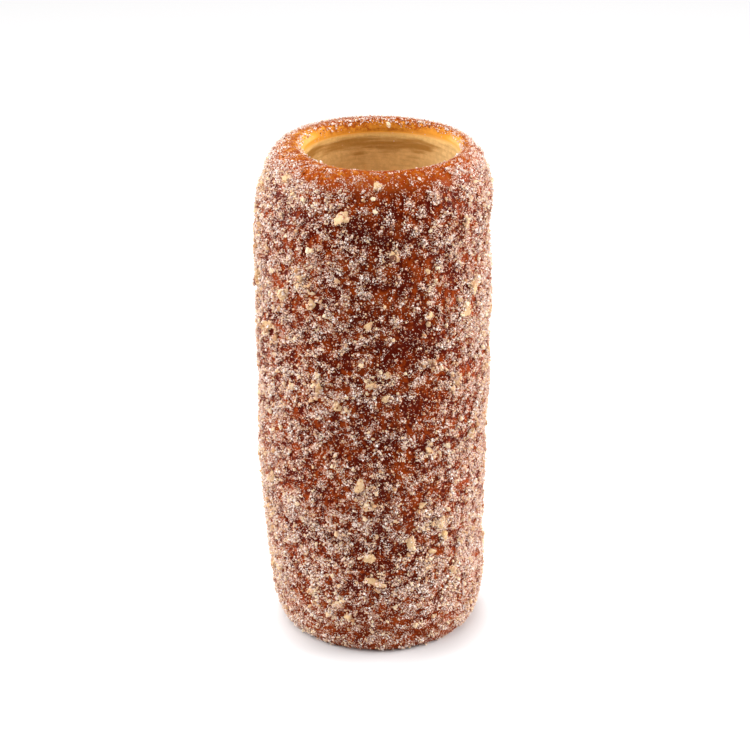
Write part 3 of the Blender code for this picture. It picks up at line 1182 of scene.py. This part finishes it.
@dataclass
class Bed:
    """What grains lie on: the crust and the nuts, with how thickly sugar lies at each vertex."""

    crust: Crust
    nuts: bpy.types.Object
    nut_level: float = -0.25
    nut_reach: float = 3.2 * MM
    crest_from: float = 179 * MM
    crest_rise: float = 6 * MM
    tries_each: int = 4  # places drawn for each grain, of which one is kept
    points: np.ndarray = field(init=False)
    triangles: np.ndarray = field(init=False)
    facing: np.ndarray = field(init=False)
    level: np.ndarray = field(init=False)
    dressing: np.ndarray = field(init=False)
    area: np.ndarray = field(init=False)

    def __post_init__(self) -> None:
        """Joins the two surfaces into one set of arrays."""
        meshes = (self.crust.skin.data, self.nuts.data)
        vertices = [places_of(mesh) for mesh in meshes]
        self.points = np.concatenate(vertices)
        on_crust, on_nuts = (triangles_of(mesh) for mesh in meshes)
        self.triangles = self._in_order(np.concatenate((on_crust, on_nuts + len(vertices[0]))))
        facing = []
        for mesh in meshes:
            flat = np.empty(len(mesh.vertices) * 3, np.float32)
            mesh.vertex_normals.foreach_get("vector", flat)
            facing.append(flat.reshape(-1, 3).astype(float))
        self.facing = np.concatenate(facing)
        each_nut = np.ones(len(vertices[1]))
        self.level = np.concatenate((self.crust.level, each_nut * self.nut_level))
        self.dressing = np.concatenate((self.crust.dressing, each_nut))
        corners = self.points[self.triangles]
        cross = np.cross(corners[:, 1] - corners[:, 0], corners[:, 2] - corners[:, 0])
        self.area = np.linalg.norm(cross, axis=1)

    def _in_order(self, triangles: np.ndarray) -> np.ndarray:
        """Sorts triangles by where they lie, since the spin leaves them in another order each time.

        Args:
            triangles: rows of three vertex numbers.

        Returns:
            The same triangles, each from its leftmost corner on, with the leftmost triangle first.
        """
        rank = np.empty(len(self.points), int)
        rank[np.lexsort(self.points.T[::-1])] = np.arange(len(self.points))
        corners = np.argsort(rank[triangles], axis=1)
        triangles = np.take_along_axis(triangles, corners, axis=1)
        return triangles[np.lexsort(rank[triangles].T[::-1])]

    def spots(
        self, grains: "Grains", centres: np.ndarray, draw: np.random.Generator
    ) -> tuple[np.ndarray, np.ndarray, np.ndarray]:
        """Draws places for grains, thick where the sugar is thick.

        Args:
            grains: the kind of grain.
            centres: the middles of the nuts.
            draw: the random draws.

        Returns:
            The places, the directions that the surface faces there and how thick the sugar lies.
        """
        tries = self.tries_each * grains.count
        weight = self.area * self.dressing[self.triangles].mean(axis=1)
        chosen = self.triangles[draw.choice(len(self.triangles), tries, p=weight / weight.sum())]
        shares = draw.dirichlet((1, 1, 1), tries)[:, :, None]
        places = (self.points[chosen] * shares).sum(axis=1)
        level = (self.level[chosen] * shares[:, :, 0]).sum(axis=1)
        thick = smooth_step(0.5 + level + self.crust.cover.clumps(places))
        likely = between(grains.strays, 1.0, thick)
        on_crest = smooth_step((places[:, 2] - self.crest_from) / self.crest_rise)
        likely *= between(1.0, grains.on_crest, on_crest)
        if grains.by_nuts:
            apart = np.min([((places - centre) ** 2).sum(axis=1) for centre in centres], axis=0)
            likely *= 1 + grains.by_nuts * np.exp(-apart / self.nut_reach**2)
        kept = draw.choice(tries, grains.count, replace=False, p=likely / likely.sum())
        facing = (self.facing[chosen[kept]] * shares[kept]).sum(axis=1)
        facing /= np.linalg.norm(facing, axis=1, keepdims=True)
        return places[kept], facing, thick[kept]


class GrainShape(Enum):
    """The forms that small grains start from."""

    SHARD = "shard"
    DIAMOND = "diamond"
    CRYSTAL = "crystal"
    CRUMB = "crumb"

    def model(self) -> tuple[np.ndarray, np.ndarray]:
        """Models one grain about 1 across.

        Returns:
            Its vertices and its triangles.
        """
        reach = 0.62
        point = {"vertices": 4, "radius1": reach, "depth": reach, "end_fill_type": "NOTHING"}
        deselect_all()
        if self is GrainShape.SHARD:
            bpy.ops.mesh.primitive_cone_add(vertices=3, radius1=0.6, depth=0.85, end_fill_type="NGON")
        elif self is GrainShape.DIAMOND:
            bpy.ops.mesh.primitive_cone_add(**point)
        elif self is GrainShape.CRYSTAL:
            bpy.ops.mesh.primitive_cube_add(size=0.75)
        else:
            bpy.ops.mesh.primitive_ico_sphere_add(subdivisions=2, radius=0.5)
        grain = bpy.context.active_object
        with editing(grain):
            if self is GrainShape.DIAMOND:
                bpy.ops.mesh.primitive_cone_add(**point, location=(0, 0, -reach), rotation=(math.pi, 0, 0))
                bpy.ops.mesh.select_all(action="SELECT")
            bpy.ops.mesh.remove_doubles(threshold=1e-4)
            bpy.ops.mesh.quads_convert_to_tris()
            bpy.ops.mesh.normals_make_consistent(inside=False)
        corners = places_of(grain.data)
        corners = corners - (corners.min(axis=0) + corners.max(axis=0)) / 2
        sides = triangles_of(grain.data)
        bpy.data.objects.remove(grain)
        return corners, sides


@dataclass(frozen=True)
class Grains:
    """One kind of small grain scattered over the crust, joined into one piece."""

    name: str
    shape: GrainShape
    count: int
    sizes: tuple[float, float]
    seed: int
    finish: GrainFinish
    strays: float = 0.05  # how thick they lie between the clumps, as a share of that in the clumps
    by_nuts: float = 0.0  # above 0, they lie thicker beside the nuts
    on_crest: float = 1.0  # below 1, they keep off the top
    sink: float = 0.28  # share of its size that a grain lies in the crust
    pile: float = 0.55 * MM  # how much higher grains lie where the sugar is thickest
    tone_by_clump: float = 0.4  # how much the grains of thick clumps are the brighter ones
    smallness: float = 1.6  # above 1, most grains are near the small end of the range
    flatness: float = 0.6
    roughness: float = 0.25

    def build(self, bed: Bed, centres: np.ndarray) -> bpy.types.Object:
        """Scatters the grains.

        Args:
            bed: what they lie on.
            centres: the middles of the nuts.

        Returns:
            The piece.
        """
        draw = np.random.default_rng(self.seed)
        spots, facing, thick = bed.spots(self, centres, draw)
        size = between(*self.sizes, draw.random(self.count) ** self.smallness)
        base, sides = self.shape.model()
        points = base[None] * draw.uniform(1 - self.roughness, 1 + self.roughness, (self.count, len(base), 1))
        points *= draw.uniform(self.flatness, 1.0, (self.count, 1, 3)) * size[:, None, None]
        points = np.einsum("nij,nkj->nki", random_turns(self.count, draw), points)
        lift = size * (0.5 - self.sink) + self.pile * thick * draw.random(self.count)
        points += (spots + facing * lift[:, None])[:, None]
        points = keep_inside(points)
        triangles = sides[None] + (np.arange(self.count) * len(base))[:, None, None]
        mesh = mesh_from_arrays(self.name, points.reshape(-1, 3), triangles.reshape(-1, 3))
        tone = between(draw.random(self.count), thick, self.tone_by_clump)
        give_values(mesh, "tone", np.repeat(tone, len(base)))
        self._lay_out(mesh, len(sides))
        piece = bpy.data.objects.new(self.name, mesh)
        bpy.context.scene.collection.objects.link(piece)
        show(piece, self.finish.make())
        return piece

    def _lay_out(self, mesh: bpy.types.Mesh, sides: int) -> None:
        """Gives each grain a small square of its own on the map for baked colours.

        Args:
            mesh: all the grains.
            sides: how many triangles a grain has.
        """
        cells = math.ceil(math.sqrt(self.count))
        number = np.repeat(np.arange(self.count), sides)
        origin = np.stack((number % cells, number // cells), axis=1)
        give_map(mesh, (origin[:, None] + np.array(CELL_TRIANGLE)[None]) / cells)


def random_turns(count: int, draw: np.random.Generator) -> np.ndarray:
    """Rotation matrices drawn evenly over all directions.

    Args:
        count: how many.
        draw: the random draws.

    Returns:
        The matrices, one behind the other.
    """
    quaternions = draw.normal(size=(4, count))
    w, x, y, z = quaternions / np.linalg.norm(quaternions, axis=0)
    rows = (
        (1 - 2 * (y * y + z * z), 2 * (x * y - z * w), 2 * (x * z + y * w)),
        (2 * (x * y + z * w), 1 - 2 * (x * x + z * z), 2 * (y * z - x * w)),
        (2 * (x * z - y * w), 2 * (y * z + x * w), 1 - 2 * (x * x + y * y)),
    )
    return np.moveaxis(np.array(rows), 2, 0)


def keep_inside(points: np.ndarray) -> np.ndarray:
    """Pushes each grain back into the solid's box where it would stand out of it.

    Args:
        points: for each grain, its vertices.

    Returns:
        The moved points.
    """
    low, high = np.array(CAD_LOW), np.array(CAD_HIGH)
    over = np.minimum(high - points.max(axis=1), 0)
    under = np.maximum(low - points.min(axis=1), 0)
    return points + (over + under)[:, None]


@dataclass(frozen=True)
class NutSpot:
    """Where a nut lies: turn and tilt in degrees, height, length and width in millimetres."""

    turn: float
    height: float
    length: float
    width: float
    tilt: float
    toast: float = 0.35
    skin: float = 0.0


@dataclass
class ChoppedNuts:
    """The chips of nut that are baked into the crust, at the solid's own places."""

    crust: Crust
    finish: NutFlesh = NutFlesh()
    seed: int = 11
    count: int = 54
    sink: float = 0.3
    flatness: float = 0.62
    length_range: tuple[float, float] = (2.2 * MM, 4.2 * MM)
    height_range: tuple[float, float] = (12 * MM, 176 * MM)
    smallness: float = 1.5
    width_range: tuple[float, float] = (0.55, 0.95)
    clearance: float = 5.5 * MM
    usual_toast: float = 0.4
    patterns: int = 8
    ball_radius: float = 0.56
    ball_subdivisions: int = 3
    cuts: int = 7
    cut_range: tuple[float, float] = (0.2, 0.46)
    voxel: float = 0.1
    lumps: Unevenness = Unevenness(0.42, 0.38)
    crags: Unevenness = Unevenness(0.16, 0.22)
    toast_size: float = 0.5
    toast_contrast: float = 2.2
    toast_least: float = 0.6
    toast_more: float = 0.7
    skin_lean: float = 0.6
    skin_edge: tuple[float, float] = (0.6, -0.15)
    shift_range: float = 50.0
    middles: np.ndarray = field(init=False)
    big: tuple[NutSpot, ...] = (
        NutSpot(0, 184.2, 3.4, 3.2, 0),
        NutSpot(-16, 173.7, 6.4, 5.0, 60),
        NutSpot(9, 161.5, 4.2, 2.8, 75, 0.4, 0.6),
        NutSpot(-86, 149, 5.0, 3.0, 85, 0.9),
        NutSpot(-74, 141.5, 7.5, 4.0, 80, 0.5, 0.7),
        NutSpot(-47, 141.5, 6.0, 4.2, 30),
        NutSpot(88, 132, 4.0, 3.0, 70, 1.0),
        NutSpot(86, 126, 3.4, 2.6, 80, 1.0),
        NutSpot(58, 142.5, 6.5, 3.2, 80),
        NutSpot(51, 134, 4.4, 3.4, 20),
        NutSpot(-55, 182.8, 4.6, 3.2, 20),
        NutSpot(45, 109.5, 4.0, 3.2, 60, 0.8),
        NutSpot(-6, 73, 7.4, 3.6, 80),
        NutSpot(20, 47.5, 4.6, 3.4, 70),
        NutSpot(39, 47.5, 3.8, 3.0, 100, 1.0),
        NutSpot(36, 53, 4.0, 2.6, 80),
        NutSpot(-1, 32.5, 8.6, 3.0, -25),
        NutSpot(-73, 24, 5.0, 3.0, 80, 1.0),
        NutSpot(-62, 66, 5.4, 3.2, 60),
        NutSpot(50, 167.5, 3.4, 2.6, 30),
        NutSpot(-2, 135.5, 3.6, 2.8, 40),
        NutSpot(28, 137, 3.8, 2.8, -30),
        NutSpot(-27, 109, 6.4, 2.8, 75, 0.9, 0.3),
        NutSpot(6, 107.5, 3.2, 2.6, 20),
        NutSpot(30, 118, 3.6, 3.0, 60, 0.9, 0.5),
        NutSpot(-3, 42, 4.4, 3.8, 20),
        NutSpot(44, 32, 3.4, 2.4, 70),
        NutSpot(-61, 126.5, 4.4, 3.4, 10),
    )

    def layout(self, draw: random.Random) -> list[tuple[float, ...]]:
        """Where each nut lies, by the solid's own rule.

        Args:
            draw: the random draws.

        Returns:
            Turn, height, length, width, tilt, toast and share of skin of each, the big ones first.
        """
        spots = [
            (
                math.radians(nut.turn),
                nut.height * MM,
                nut.length * MM,
                nut.width * MM,
                math.radians(nut.tilt),
                nut.toast,
                nut.skin,
            )
            for nut in self.big
        ]
        radius = self.crust.form.top_radius
        while len(spots) < len(self.big) + self.count:
            turn = draw.uniform(-math.pi, math.pi)
            height = draw.uniform(*self.height_range)
            length = between(*self.length_range, draw.random() ** self.smallness)
            apart = min(
                math.hypot(radius * math.remainder(turn - other[0], TURN), height - other[1])
                for other in spots
            )
            if apart > self.clearance:
                width = length * draw.uniform(*self.width_range)
                tilt = draw.uniform(0, math.pi)
                spots.append((turn, height, length, width, tilt, self.usual_toast, 0.0))
        return spots

    def build(self) -> bpy.types.Object:
        """Models a few chips, copies them to all their places and joins them.

        Returns:
            The piece.
        """
        draw = random.Random(self.seed)
        spots = self.layout(draw)
        skin = self.crust.skin.data
        tree = BVHTree.FromPolygons(places_of(skin).tolist(), triangles_of(skin).tolist())
        chips = [self._model_chip(draw) for _ in range(self.patterns)]
        copies = []
        middles = []
        for number, spot in enumerate(spots):
            chip = chips[number % self.patterns].copy()
            chip.data = chip.data.copy()
            bpy.context.scene.collection.objects.link(chip)
            middles.append(self._place(chip, spot, tree, draw))
            copies.append(chip)
        for chip in chips:
            bpy.data.objects.remove(chip)
        deselect_all()
        for chip in copies:
            chip.select_set(True)
        bpy.context.view_layer.objects.active = copies[0]
        bpy.ops.object.join()
        nuts = copies[0]
        nuts.name = "chopped_nuts"
        self.middles = np.array(middles)
        return nuts

    def _model_chip(self, draw: random.Random) -> bpy.types.Object:
        """One broken chip about 1 across: a ball cut by a few planes, with its edges taken off.

        Args:
            draw: the random draws.

        Returns:
            The chip, at the origin.
        """
        deselect_all()
        bpy.ops.mesh.primitive_ico_sphere_add(subdivisions=self.ball_subdivisions, radius=self.ball_radius)
        chip = bpy.context.active_object
        with editing(chip):
            for _ in range(self.cuts):
                normal = Vector((draw.gauss(0, 1), draw.gauss(0, 1), draw.gauss(0, 1))).normalized()
                cut = normal * draw.uniform(*self.cut_range)
                bpy.ops.mesh.select_all(action="SELECT")
                bpy.ops.mesh.bisect(plane_co=cut, plane_no=normal, use_fill=True, clear_outer=True)
            bpy.ops.mesh.select_all(action="SELECT")
            bpy.ops.mesh.quads_convert_to_tris()
            bpy.ops.mesh.normals_make_consistent(inside=False)
        remesh = chip.modifiers.new("even", "REMESH")
        remesh.mode = "VOXEL"
        remesh.voxel_size = self.voxel
        bpy.context.view_layer.objects.active = chip
        bpy.ops.object.modifier_apply(modifier=remesh.name)
        return chip

    def _place(
        self, chip: bpy.types.Object, spot: tuple[float, ...], tree: BVHTree, draw: random.Random
    ) -> Vector:
        """Sets a chip into the crust and stores its toast and skin.

        Args:
            chip: the copy to place.
            spot: its turn, height, length, width, tilt, toast and share of skin.
            tree: the crust's faces.
            draw: the random draws.

        Returns:
            The chip's middle.
        """
        turn, height, length, width, tilt, toast, skin = spot
        thickness = self.flatness * width
        outward = Vector((math.sin(turn), -math.cos(turn), 0))
        form = self.crust.form
        axis = Vector((form.bow(height), 0, height)) + Vector(self.crust.offset)
        place, facing, _, _ = tree.ray_cast(outward * 2 * form.top_radius + axis, -outward)
        across = Vector((0, 0, 1)).cross(facing).normalized()
        stance = Matrix((across, facing.cross(across), facing)).transposed()
        places = places_of(chip.data)
        for noisy in (self.lumps, self.crags):
            own = replace(noisy, shift=draw.uniform(0, self.shift_range))
            places *= 1 + own.at(places)[:, None]
        blotches = Unevenness(self.toast_size, self.toast_contrast, draw.uniform(0, self.shift_range))
        low = smooth_step(0.5 + blotches.at(places))
        toasted = toast * (self.toast_least + self.toast_more * low)
        give_values(chip.data, "toast", np.clip(toasted, 0, 1))
        skin_side = Vector((draw.gauss(0, 1), draw.gauss(0, 1), self.skin_lean)).normalized()
        covered = places @ np.array(skin_side) > between(*self.skin_edge, skin)
        give_values(chip.data, "skin", covered * (1.0 if skin else 0.0))
        places *= 1.0 / np.ptp(places, axis=0)
        turned = stance @ Euler((0, 0, tilt)).to_matrix() @ Matrix.Diagonal((length, width, thickness))
        centre = place + facing * thickness * (0.5 - self.sink)
        places = keep_inside((places @ np.array(turned).T + np.array(centre))[None])[0]
        chip.data.vertices.foreach_set("co", places.astype(np.float32).ravel())
        return centre


@dataclass(frozen=True)
class Softbox:
    """A soft light: where it stands, what it looks at, its size and power in watts."""

    name: str
    place: tuple[float, float, float]
    size: tuple[float, float]
    power: float
    aim: tuple[float, float, float] = (0.0, 0.0, 0.094)
    colour: Colour = (1.0, 1.0, 1.0)

    def build(self) -> None:
        """Adds the light."""
        light = bpy.data.lights.new(self.name, "AREA")
        light.shape = "RECTANGLE"
        light.size, light.size_y = self.size
        light.energy = self.power
        light.color = self.colour
        lamp = bpy.data.objects.new(self.name, light)
        lamp.location = self.place
        lamp.rotation_euler = (Vector(self.aim) - Vector(self.place)).to_track_quat("-Z", "Y").to_euler()
        bpy.context.scene.collection.objects.link(lamp)


@dataclass
class Studio:
    """A white studio: the floor, the soft lights and the camera at the photograph's angle."""

    elevation: float = math.radians(24.57)
    distance: float = 0.7898
    focal: float = 101.6
    sensor: float = 36
    target: tuple[float, float, float] = (0.0006, 0.0, 0.094)
    framing_up: float = 3.25 * MM
    floor_size: float = 8.0
    floor_colour: Colour = (0.63, 0.615, 0.62)
    floor_roughness: float = 0.8
    # Painted shadow: the floor's glow starts this far from this centre, so the dark round the foot reaches
    # further in front
    lift_centre: tuple[float, float, float] = (4 * MM, -12 * MM, 0.0)
    lift_from: float = 28 * MM
    lift_to: float = 62 * MM
    # Painted light that camera rays see on the floor
    floor_painted_lift: float = 0.6
    # Painted light from a ring of floor near the cake onto its lower sides
    floor_painted_glow: float = 0.40
    glow_from: float = 0.10
    glow_to: float = 0.30
    world_strength: float = 0.30
    lights: tuple[Softbox, ...] = (
        Softbox("left_softbox", (-0.75, 0.04, 0.33), (0.5, 0.6), 6.6),
        Softbox("right_softbox", (0.75, 0.06, 0.33), (0.5, 0.6), 9.9),
        Softbox("top_softbox", (-0.15, -0.30, 0.88), (0.6, 0.6), 5.3),
    )

    def build(self) -> None:
        """Builds all of it."""
        scene = bpy.context.scene
        scene.view_settings.view_transform = "Standard"
        self._floor()
        self._world()
        for light in self.lights:
            light.build()
        self._camera()

    def _floor(self) -> None:
        """The pale floor, which runs on past the view. It glows with painted light: for the camera it turns
        white beyond a painted shadow round the foot, and a ring of glow near the cake lights the cake's lower
        sides.
        """
        deselect_all()
        bpy.ops.mesh.primitive_plane_add(size=self.floor_size)
        floor = bpy.context.active_object
        floor.name = "floor"
        material = bpy.data.materials.new("pale_floor")
        material.use_nodes = True
        wiring = Wiring(material.node_tree)
        shader = material.node_tree.nodes["Principled BSDF"]
        wiring.feed(shader.inputs["Base Color"], self.floor_colour)
        wiring.feed(shader.inputs["Roughness"], self.floor_roughness)
        wiring.feed(shader.inputs["Emission Color"], (1.0, 1.0, 1.0))
        # Painted shadow and painted light: the floor glows only beyond a zone round the foot, centred a
        # little forward
        places = {0: wiring.place(), 1: self.lift_centre}
        away = wiring.add("VectorMath", places, operation="DISTANCE").outputs["Value"]
        far = wiring.span(away, self.lift_from, self.lift_to)
        near = wiring.math("SUBTRACT", 1.0, wiring.span(away, self.glow_from, self.glow_to))
        glow = wiring.math("MULTIPLY", near, self.floor_painted_glow)
        # Camera rays see the floor whitened by painted light; other rays get only the glow ring near the cake
        seen = wiring.add("LightPath").outputs["Is Camera Ray"]
        lift = wiring.math("MULTIPLY_ADD", seen, self.floor_painted_lift, glow)
        wiring.feed(shader.inputs["Emission Strength"], wiring.math("MULTIPLY", far, lift))
        floor.data.materials.append(material)

    def _world(self) -> None:
        """Even white light from all round."""
        world = bpy.data.worlds.new("studio")
        world.use_nodes = True
        background = world.node_tree.nodes["Background"]
        background.inputs["Color"].default_value = (1, 1, 1, 1)
        background.inputs["Strength"].default_value = self.world_strength
        bpy.context.scene.world = world

    def _camera(self) -> None:
        """The camera, a little above the cake's middle line so that the cake sits in the frame as it does."""
        back = Vector((0, -math.cos(self.elevation), math.sin(self.elevation)))
        up = Vector((0, math.sin(self.elevation), math.cos(self.elevation)))
        lens = bpy.data.cameras.new("camera")
        lens.sensor_width = self.sensor
        lens.lens = self.focal
        camera = bpy.data.objects.new("camera", lens)
        camera.location = Vector(self.target) + up * self.framing_up + back * self.distance
        camera.rotation_euler = (-back).to_track_quat("-Z", "Y").to_euler()
        bpy.context.scene.collection.objects.link(camera)
        bpy.context.scene.camera = camera


SUGAR = GrainFinish("sugar_crystal", (0.56, 0.25, 0.16), (0.86, 0.61, 0.49), (0.98, 0.94, 0.91), 0.3)
MELTED = GrainFinish(
    "melted_sugar", (0.17, 0.02, 0.005), (0.42, 0.13, 0.046), (0.70, 0.39, 0.26), 0.25, shine=0.08
)
GROUND_NUT = GrainFinish(
    "ground_nut", (0.55, 0.27, 0.12), (0.82, 0.57, 0.35), (0.90, 0.75, 0.53), 0.6, shine=0.15
)

GRAINS = (
    Grains("coarse_sugar", GrainShape.CRYSTAL, 7000, (0.60 * MM, 1.00 * MM), 21, SUGAR, strays=0.04),
    Grains("table_sugar", GrainShape.DIAMOND, 21000, (0.48 * MM, 0.85 * MM), 22, SUGAR, strays=0.05),
    Grains("fine_sugar", GrainShape.SHARD, 49000, (0.34 * MM, 0.65 * MM), 23, SUGAR, strays=0.12),
    Grains("finest_sugar", GrainShape.SHARD, 19000, (0.26 * MM, 0.45 * MM), 27, SUGAR, strays=0.5),
    Grains(
        "melted_sugar",
        GrainShape.DIAMOND,
        18000,
        (0.50 * MM, 1.00 * MM),
        24,
        MELTED,
        strays=0.5,
        sink=0.4,
        pile=0.0,
        tone_by_clump=0.0,
    ),
    Grains(
        "nut_meal",
        GrainShape.DIAMOND,
        18000,
        (0.48 * MM, 1.00 * MM),
        25,
        GROUND_NUT,
        by_nuts=3.0,
        on_crest=0.1,
    ),
    Grains(
        "nut_crumbs",
        GrainShape.CRUMB,
        1400,
        (0.90 * MM, 2.30 * MM),
        26,
        GROUND_NUT,
        by_nuts=14.0,
        on_crest=0.05,
        sink=0.35,
        pile=0.1 * MM,
        tone_by_clump=0.0,
        smallness=2.0,
        flatness=0.5,
        roughness=0.42,
    ),
)


def main() -> None:
    """Builds the cake's pieces and the studio in order."""
    logging.basicConfig(level=logging.INFO, format="%(message)s")
    effects = Effects()
    crust = Crust(DoughForm())
    crust.build()
    show(crust.skin, CaramelCrust().make(effects))
    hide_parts(NODE)
    nuts = ChoppedNuts(crust)
    chips = nuts.build()
    show(chips, nuts.finish.make(effects))
    bed = Bed(crust, chips)
    for grains in GRAINS:
        grains.build(bed, nuts.middles)
    Studio().build()


if __name__ == "__main__":
    main()
